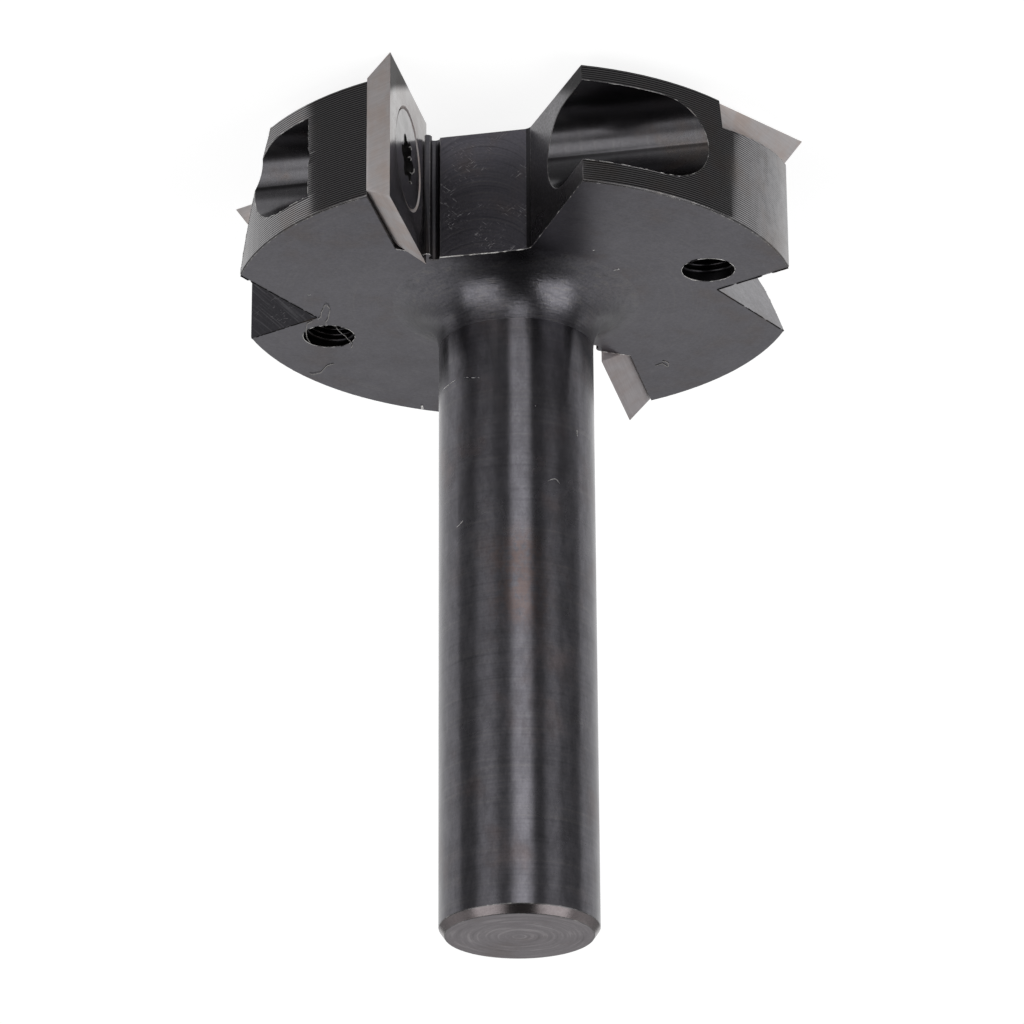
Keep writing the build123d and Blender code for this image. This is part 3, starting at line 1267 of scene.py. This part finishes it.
@dataclass
class CutterBody:
    """The turned and milled body, with broken edges and the head's turned grooves.

    Angles are in degrees. The shares set how closely a face's normal keeps to a direction, and
    near_mm how closely its middle keeps to a surface, for the face to count as part of that surface.
    """

    edge_break_mm: float = 0.045
    edge_angle: float = 30.0
    groove_depth_mm: float = 0.028
    scuffed_share: float = 0.4
    groove_stop_mm: float = 0.3
    near_mm: float = 0.06
    relief_mm: float = 1.0
    relief_reach_mm: float = 2.0
    gullet_from_mm: float = 0.3
    level_share: float = 0.99
    fillet_share: float = 0.05
    upright_share: float = 0.9
    rim_share: float = 0.6
    round_wall_share: float = 0.1
    ring_slack: float = 0.02
    plane_slack_mm: float = 0.0005
    outer_slack_mm: float = 0.02
    merge_angle: float = 0.5
    crease_angle: float = 24.0
    regions: list[Region] = field(default_factory=lambda: list(Region))
    edges: EdgesByPair = field(default_factory=dict)

    def region_of(self, centre: Vector, normal: Vector) -> Region:
        """The surface a face belongs to.

        Args:
            centre: the face's middle in millimetres.
            normal: the face's outward normal.

        Returns:
            Its region.
        """
        reach = math.hypot(centre.x, centre.y)
        near = self.near_mm
        if centre.z > LAYOUT.chamfer_foot_mm:
            return Region.END if normal.z > SAME_WAY else Region.CHAMFER
        if centre.z > LAYOUT.fillet_top_mm - near and reach < LAYOUT.shank_radius_mm + near:
            return Region.SHANK
        if normal.z > self.level_share and abs(centre.z - LAYOUT.upper_level_mm) < near:
            return Region.UPPER
        above_head = centre.z > LAYOUT.upper_level_mm - near and reach < LAYOUT.fillet_reach_mm
        if above_head and normal.z > self.fillet_share:
            return Region.FILLET
        if abs(reach - LAYOUT.head_radius_mm) < 2 * near and abs(normal.z) < self.upright_share:
            outward = (normal.x * centre.x + normal.y * centre.y) / reach
            if outward > self.rim_share:
                return Region.RIM
        if normal.z < -self.level_share and centre.z < LAYOUT.rim_level_mm + near:
            return Region.CROWN
        for copy in (0, 1):
            found = self.cut_region(half_turned(centre, copy), half_turned(normal, copy))
            if found is not None:
                return found
        return Region.POCKET

    def cut_region(self, centre: Vector, normal: Vector) -> Optional[Region]:
        """The milled surface of the cuts' first copy that a face belongs to.

        Args:
            centre: the face's middle in millimetres.
            normal: the face's outward normal.

        Returns:
            Its region, or None where it is on no such surface.
        """
        near = self.near_mm
        outward = centre.dot(LAYOUT.side_out)
        ahead = centre.dot(LAYOUT.side_ahead) + LAYOUT.face_offset_mm
        off_floor = abs(outward - LAYOUT.floor_reach_mm)
        slot_middle = LAYOUT.edge_reach_mm - LAYOUT.insert_side_mm / 2
        level = centre.z - LAYOUT.insert_side_mm / 2
        off_slot = abs(math.hypot(min(outward - slot_middle, 0.0), level) - LAYOUT.slot_radius_mm)
        if outward > 0:
            if alike(normal, LAYOUT.side_out) and off_floor < 3 * near and ahead > self.gullet_from_mm:
                return Region.GULLET_FLOOR
            if alike(normal, LAYOUT.flare_normal):
                return Region.FAR_WALL
            if alike(normal, LAYOUT.side_ahead) and abs(ahead + LAYOUT.insert_thickness_mm) < near:
                return Region.SEAT
            if off_floor < self.relief_mm and abs(ahead + self.relief_mm) < self.relief_reach_mm:
                return Region.SEAT
            if off_slot < 2 * near and abs(normal.dot(LAYOUT.side_ahead)) < self.round_wall_share:
                return Region.SLOT
            if alike(normal, -LAYOUT.side_ahead) and abs(ahead + LAYOUT.slot_back_mm) < near:
                return Region.SLOT
        if centre.x < 0:
            if alike(normal, LAYOUT.steep_normal):
                return Region.STEEP
            if alike(normal, LAYOUT.slant_normal):
                return Region.SLANTED
        return None

    def break_edges(self, mesh: bmesh.types.BMesh) -> None:
        """Rounds the sharp edges a little, in the worn finish, and notes where they ran.

        Args:
            mesh: the body's mesh.
        """
        sharp = sharp_edges(mesh, self.edge_angle)
        for edge in sharp:
            pair = frozenset(self.regions[face.material_index] for face in edge.link_faces)
            ends = (edge.verts[0].co.copy(), edge.verts[1].co.copy())
            self.edges.setdefault(pair, []).append(ends)
        round_off(mesh, sharp, self.edge_break_mm, self.regions.index(Region.EDGE))

    def turn_grooves(self, mesh: bmesh.types.BMesh) -> None:
        """Cuts the head's outer face into rings and sinks every second one.

        Args:
            mesh: the body's mesh.
        """
        rim = self.regions.index(Region.RIM)
        step = LAYOUT.groove_pitch_mm / 2
        count = int((LAYOUT.upper_level_mm - LAYOUT.rim_level_mm - self.groove_stop_mm) / step)
        low = LAYOUT.groove_foot_mm
        for ring in range(count + 1):
            level = (low + ring * step) * MM
            faces = [f for f in mesh.faces if f.material_index == rim]
            around = dict.fromkeys(part for face in faces for part in (*face.verts, *face.edges))
            bmesh.ops.bisect_plane(
                mesh,
                geom=[*around, *faces],
                dist=self.plane_slack_mm * MM,
                plane_co=(0.0, 0.0, level),
                plane_no=(0.0, 0.0, 1.0),
            )
        for vert in {v for f in mesh.faces if f.material_index == rim for v in f.verts}:
            ring = (vert.co.z / MM - low) / step
            reach = math.hypot(vert.co.x, vert.co.y) / MM
            sunk = abs(ring - round(ring)) < self.ring_slack and round(ring) % 2
            if sunk and reach > LAYOUT.head_radius_mm - self.outer_slack_mm:
                far, near = LAYOUT.scuffed_mm
                kept = min(max((vert.co.x / MM - far) / (near - far), self.scuffed_share), 1.0)
                shrink = 1 - kept * self.groove_depth_mm / reach
                vert.co.x *= shrink
                vert.co.y *= shrink

    def build(self) -> bpy.types.Object:
        """The finished body, which replaces its CAD node."""
        mesh = merged_copy("cutter_body")
        for face in mesh.faces:
            centre = face.calc_center_median() / MM
            face.material_index = self.regions.index(self.region_of(centre, face.normal))
        bmesh.ops.dissolve_limit(
            mesh,
            angle_limit=math.radians(self.merge_angle),
            verts=mesh.verts,
            edges=mesh.edges,
            delimit={"MATERIAL"},
        )
        self.break_edges(mesh)
        self.turn_grooves(mesh)
        put_in_order(mesh)
        sharpen(mesh, self.crease_angle, self.regions.index(Region.EDGE))
        body = piece_from(mesh, "dressed_body", [region.value.material() for region in self.regions])
        settle(body, ["cutter_body"])
        return body


class Seat(Enum):
    """The two kinds of seat that hold an insert and its screw."""

    SIDE = "side"
    FACE = "face"

    def looks(self, copy: int) -> Vector:
        """The way the cutting face of this seat's insert looks."""
        return half_turned(LAYOUT.side_ahead if self is Seat.SIDE else LAYOUT.face_out, copy)


SEATS = tuple((seat, number) for seat in Seat for number in (1, 2))


@dataclass
class CarbideInserts:
    """The four square inserts with honed edges. Side insert 2 has darker flanks."""

    hone_mm: float = 0.03
    hone_angle: float = 25.0
    crease_angle: float = 24.0
    flank: GroundMetalFinish = GroundMetalFinish(
        "ground_carbide",
        colour=(0.53, 0.5, 0.5),
        mottle=(0.5, 0.425, 0.395),
        roughness=0.4,
        metallic=0.35,
    )
    cutting_face: GroundMetalFinish = GroundMetalFinish(
        "lapped_carbide",
        colour=(0.5, 0.485, 0.48),
        mottle=(0.43, 0.4, 0.39),
        roughness=0.15,
        depth_mm=0.0004,
    )
    darker_flank: GroundMetalFinish = GroundMetalFinish(
        "darker_ground_carbide",
        colour=(0.37, 0.342, 0.35),
        mottle=(0.34, 0.295, 0.29),
        roughness=0.4,
        metallic=0.35,
    )

    def build(self) -> list[bpy.types.Object]:
        """The finished inserts, which replace their CAD nodes."""
        cutting_face = self.cutting_face.material()
        flanks = {1: self.flank.material(), 2: self.darker_flank.material()}
        made = []
        for seat, number in SEATS:
            flank = flanks[number if seat is Seat.SIDE else 1]
            node = f"{seat.value}_insert_{number}"
            mesh = merged_copy(node)
            looks = seat.looks(number - 1)
            for face in mesh.faces:
                face.material_index = int(alike(face.normal, looks))
            round_off(mesh, sharp_edges(mesh, self.hone_angle), self.hone_mm, 0)
            sharpen(mesh, self.crease_angle)
            piece = piece_from(mesh, f"dressed_{node}", [flank, cutting_face])
            settle(piece, [node])
            made.append(piece)
        return made


@dataclass
class InsertScrews:
    """The four countersunk screws."""

    crease_angle: float = 30.0
    finish: GroundMetalFinish = GroundMetalFinish(
        "screw_steel", colour=(0.5, 0.49, 0.49), mottle=(0.4, 0.39, 0.39), roughness=0.17, depth_mm=0.0008
    )

    def build(self) -> list[bpy.types.Object]:
        """The finished screws, which replace their CAD nodes."""
        material = self.finish.material()
        made = []
        for seat, number in SEATS:
            node = f"{seat.value}_insert_screw_{number}"
            mesh = merged_copy(node)
            sharpen(mesh, self.crease_angle)
            piece = piece_from(mesh, f"dressed_{node}", [material])
            settle(piece, [node])
            made.append(piece)
        return made


@dataclass(frozen=True)
class Softbox:
    """A soft light by where it stands and how large and bright it looks from the head.

    Azimuth is 0 on the camera's side and positive towards the image's right.
    """

    azimuth: float
    elevation: float
    half_width: float
    half_height: float
    brightness: float
    distance: float = 0.8


@dataclass(frozen=True)
class FloorStreak:
    """A soft bright strip on the dim front of the floor, which only the metal mirrors.

    It runs outward at an azimuth like the lamps' and brightens between near_mm and far_mm.
    """

    azimuth: float
    half_width: float
    soft: float
    brightness: float
    near_mm: float
    far_mm: float


@dataclass
class Studio:
    """White floor, soft lights and the camera at the photograph's angle.

    The floor's whiteness in the metal fades by the rises that end in _mm, and the surroundings'
    brightness by those that start with grey or dim.
    """

    floor_half: float = 3.0
    floor_white: float = 0.88
    floor_shadow: float = 0.35
    floor_front: float = 0.2
    # how dim the floor looks in the metal close to the tool, as a painted shadow of the tool
    floor_painted_shadow: float = 0.8
    floor_pale: Colour = (0.8, 0.8, 0.8)
    floor_fleck: Colour = (0.78, 0.78, 0.785)
    side_fade_mm: Rise = (43.0, 90.0, 0.0, 20.0)
    right_lean: float = 0.12
    white_from_mm: tuple[float, float] = (-15.9, -14.2)
    painted_shadow_mm: tuple[float, float] = (14.0, 27.0)
    grey_behind: Rise = (-0.25, 0.35, 0.13, 0.66)
    grey_above: Rise = (-0.05, 0.5, 0.35, 1.2)
    dim_crown: Rise = (0.75, 0.93, 1.0, 0.25)
    dim_front: Rise = (0.15, 0.4, 1.0, 0.45)
    streaks: tuple[FloorStreak, ...] = (
        FloorStreak(-45.0, 15.0, 10.0, 0.3, 36.0, 62.0),
        FloorStreak(-45.0, 15.0, 10.0, 1.1, 40.0, 130.0),
        FloorStreak(5.0, 14.0, 6.0, 1.4, 22.0, 50.0),
        FloorStreak(5.0, 14.0, 6.0, 2.5, 40.0, 130.0),
        FloorStreak(49.0, 12.0, 8.0, 0.15, 36.0, 62.0),
        FloorStreak(49.0, 12.0, 8.0, 0.8, 40.0, 130.0),
    )
    lit_level_mm: float = 15.0
    image_px: int = 1024
    sensor_mm: float = 36.0
    focal_px: float = 4747.476
    camera_back_mm: float = 335.530
    camera_up_mm: float = 167.980
    pitch: float = 22.5463
    yaw: float = -0.0662
    roll: float = -0.3202
    lamps: dict[str, Softbox] = field(
        default_factory=lambda: {
            "left_softbox": Softbox(-52.0, 33.0, 21.0, 20.0, 1.8),
            "right_softbox": Softbox(60.0, 29.0, 20.0, 25.0, 2.0),
            "front_strip": Softbox(5.0, 2.0, 9.0, 10.0, 1.1),
            "low_left_strip": Softbox(-22.0, 12.0, 10.0, 12.0, 1.2),
        }
    )

    def place_camera(self) -> bpy.types.Object:
        """The scene's camera, rolled by half a turn because the photograph is upside down."""
        pitch, yaw, roll = (math.radians(a) for a in (self.pitch, self.yaw, self.roll))
        forward = Vector((math.sin(yaw) * math.cos(pitch), math.cos(yaw) * math.cos(pitch), math.sin(pitch)))
        right = Vector((math.cos(yaw), -math.sin(yaw), 0.0))
        up = right.cross(forward)
        rolled_right = right * math.cos(roll) + up * math.sin(roll)
        rolled_up = up * math.cos(roll) - right * math.sin(roll)
        columns = [Vector((-v.x, v.y, -v.z)) for v in (rolled_right, rolled_up, -forward)]
        turn = Matrix(columns).transposed().to_4x4()
        data = bpy.data.cameras.new("camera")
        data.sensor_width = self.sensor_mm
        data.lens = self.focal_px / self.image_px * self.sensor_mm
        data.clip_start = 0.01
        data.clip_end = 50.0
        camera = bpy.data.objects.new("camera", data)
        bpy.context.scene.collection.objects.link(camera)
        place = Vector((0.0, -self.camera_back_mm, self.camera_up_mm)) * MM
        camera.matrix_world = Matrix.Translation(place) @ turn
        bpy.context.scene.camera = camera
        return camera

    def pool(self, graph: Graph, place: Socket) -> Socket:
        """How white the floor looks in the metal: white behind the tool and dim in front of it.

        Args:
            graph: the tree to add to.
            place: the floor's point in millimetres.

        Returns:
            1 where the floor is as white as the background.
        """
        x, y, _ = graph.split(place)
        aside = graph.rise(graph.math("ABSOLUTE", x), *self.side_fade_mm)
        right = graph.math("MAXIMUM", graph.math("MULTIPLY", x, -1.0), 0.0)
        right = graph.math("MULTIPLY", right, self.right_lean)
        behind = graph.math("SUBTRACT", y, graph.math("ADD", aside, right))
        pool = graph.rise(behind, *self.white_from_mm, self.floor_front, 1.0)
        # painted shadow of the tool on the floor close to it, as the metal mirrors the floor
        reach = graph.vector("LENGTH", place)
        pool = graph.math("MULTIPLY", pool, graph.rise(reach, *self.painted_shadow_mm, self.floor_painted_shadow, 1.0))
        angle = graph.math("ARCTAN2", graph.math("MULTIPLY", x, -1.0), graph.math("MULTIPLY", y, -1.0))
        angle = graph.math("DEGREES", angle)
        for streak in self.streaks:
            off = graph.math("ABSOLUTE", graph.math("SUBTRACT", angle, streak.azimuth))
            inner, outer = streak.half_width - streak.soft, streak.half_width + streak.soft
            shine = graph.rise(off, inner, outer, streak.brightness, 0.0)
            away = graph.rise(reach, streak.near_mm, streak.far_mm)
            pool = graph.math("MAXIMUM", pool, graph.math("MULTIPLY", shine, away))
        return pool

    def lay_floor(self) -> bpy.types.Object:
        """The pale floor. It is white to the camera and keeps the object's shadow."""
        material, graph = new_material("white_floor")
        place = graph.place_mm()
        grain = graph.noise(place, *FLOOR_GRAIN)
        colour = graph.tint(grain, self.floor_pale, self.floor_fleck)
        path = graph.node("ShaderNodeLightPath").outputs
        mirrored = graph.math("MAXIMUM", path["Is Glossy Ray"], path["Is Transmission Ray"])
        camera = path["Is Camera Ray"]
        bright = graph.math("MULTIPLY", mirrored, self.pool(graph, place))
        other = graph.math("SUBTRACT", 1.0, graph.math("MAXIMUM", camera, mirrored))
        seen = graph.math("ADD", camera, bright)
        share = graph.math("ADD", other, graph.math("MULTIPLY", seen, self.floor_shadow))
        diffuse = graph.node("ShaderNodeBsdfDiffuse", {"Color": graph.shaded(colour, share)})
        strength = graph.math("MULTIPLY", seen, self.floor_white)
        glow = graph.node("ShaderNodeEmission", {"Color": (1.0, 1.0, 1.0, 1.0), "Strength": strength})
        total = graph.node("ShaderNodeAddShader", {0: diffuse.outputs[0], 1: glow.outputs[0]})
        graph.node("ShaderNodeOutputMaterial", {"Surface": total.outputs[0]})
        mesh = bmesh.new()
        bmesh.ops.create_grid(mesh, x_segments=8, y_segments=8, size=self.floor_half)
        floor = piece_from(mesh, "floor", [material])
        floor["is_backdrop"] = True
        return floor

    def light_world(self) -> None:
        """Even grey surroundings, brighter behind the object than in front of it."""
        world = bpy.data.worlds.new("surroundings")
        bpy.context.scene.world = world
        world.use_nodes = True
        graph = Graph(world.node_tree)
        direction = graph.node("ShaderNodeTexCoord").outputs["Generated"]
        _, y, z = graph.split(direction)
        back, lift = graph.rise(y, *self.grey_behind), graph.rise(z, *self.grey_above)
        crown = graph.rise(z, *self.dim_crown)
        ahead = graph.math("MULTIPLY", z, graph.math("MULTIPLY", y, -1.0))
        level = graph.math("MULTIPLY", graph.math("MULTIPLY", back, lift), crown)
        level = graph.math("MULTIPLY", level, graph.rise(ahead, *self.dim_front))
        background = graph.node("ShaderNodeBackground", {"Color": (1.0, 1.0, 1.0, 1.0), "Strength": level})
        graph.node("ShaderNodeOutputWorld", {"Surface": background.outputs[0]})

    def add_softbox(self, lamp_name: str, box: Softbox) -> None:
        """One soft area light that looks at the head.

        Args:
            lamp_name: its name.
            box: where it stands, its size and its brightness.
        """
        data = bpy.data.lights.new(lamp_name, "AREA")
        data.shape = "RECTANGLE"
        data.size = 2 * box.distance * math.tan(math.radians(box.half_width))
        data.size_y = 2 * box.distance * math.tan(math.radians(box.half_height))
        data.energy = box.brightness * math.pi * data.size * data.size_y
        lamp = bpy.data.objects.new(lamp_name, data)
        bpy.context.scene.collection.objects.link(lamp)
        turn, lift = math.radians(box.azimuth), math.radians(box.elevation)
        away = Vector((-math.sin(turn) * math.cos(lift), -math.cos(turn) * math.cos(lift), math.sin(lift)))
        lamp.location = Vector((0.0, 0.0, self.lit_level_mm * MM)) + away * box.distance
        lamp.rotation_mode = "QUATERNION"
        lamp.rotation_quaternion = (-away).to_track_quat("-Z", "Y")

    def build(self) -> None:
        """The whole studio."""
        bpy.context.scene.view_settings.view_transform = "Standard"
        self.place_camera()
        self.lay_floor()
        self.light_world()
        for lamp_name, box in self.lamps.items():
            self.add_softbox(lamp_name, box)


def main() -> None:
    """Builds the studio and every piece, and keeps the burrs inside the CAD pieces' box."""
    logging.basicConfig(level=logging.INFO, format="%(name)s %(message)s")
    cad_box = [list(corner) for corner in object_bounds()]
    Studio().build()
    body = CutterBody()
    body.build()
    EdgeBurrsAndShadowLines().build(body.edges, cad_box)
    HoleThreads().build()
    LintFibres().build()
    CarbideInserts().build()
    InsertScrews().build()


if __name__ == "__main__":
    main()
